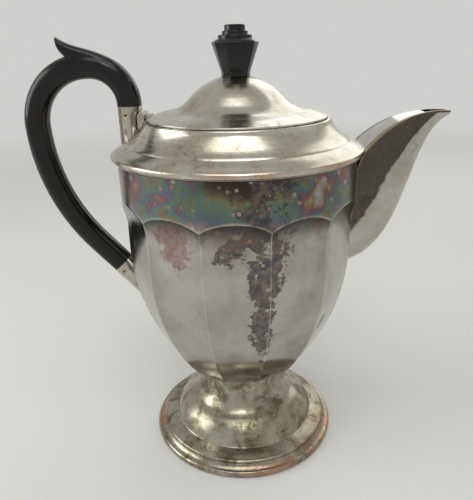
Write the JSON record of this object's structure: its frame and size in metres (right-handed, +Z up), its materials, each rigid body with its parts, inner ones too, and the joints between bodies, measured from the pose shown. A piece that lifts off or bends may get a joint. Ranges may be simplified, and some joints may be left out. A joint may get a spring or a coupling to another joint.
{
  "type": "coffee pot",
  "caption": "Panelled silver-plated coffee pot on a pedestal foot, with a hinged domed lid, faceted black knob, beaked spout and black loop handle.",
  "frame": {"origin": "middle of the ring that the foot stands on", "axes": "+Z up, +X towards the spout, -X towards the handle, -Y the side the picture shows"},
  "size_m": [0.1906, 0.1146, 0.2025],
  "materials": {
    "silver_plate": "polished, worn and tarnished",
    "black_grip": "satin",
    "black_knob": "gloss",
    "pin_metal": "satin"
  },
  "bodies": {
    "pot": {"body": "silver_plate", "collar": "silver_plate", "foot": "silver_plate", "foot_rim": "silver_plate", "spout": "silver_plate", "upper_socket": "silver_plate", "lower_socket": "silver_plate", "handle": "black_grip", "upper_handle_pin": "pin_metal", "lower_handle_pin": "pin_metal", "hinge_collar_leaf": "silver_plate", "hinge_pin": "pin_metal"},
    "lid_body": {"lid": "silver_plate", "lid_bezel": "silver_plate", "hinge_lid_leaf": "silver_plate", "finial": "black_knob", "finial_cap": "black_knob", "finial_stud": "pin_metal", "finial_washer": "pin_metal", "finial_nut": "pin_metal"}
  },
  "joints": [
    {"name": "lid_hinge", "type": "hinge", "parent": "pot", "child": "lid_body", "pos_m": [-0.0424, 0, 0.166], "axis": [0, -1, 0], "range_deg": [0, 75]}
  ]
}
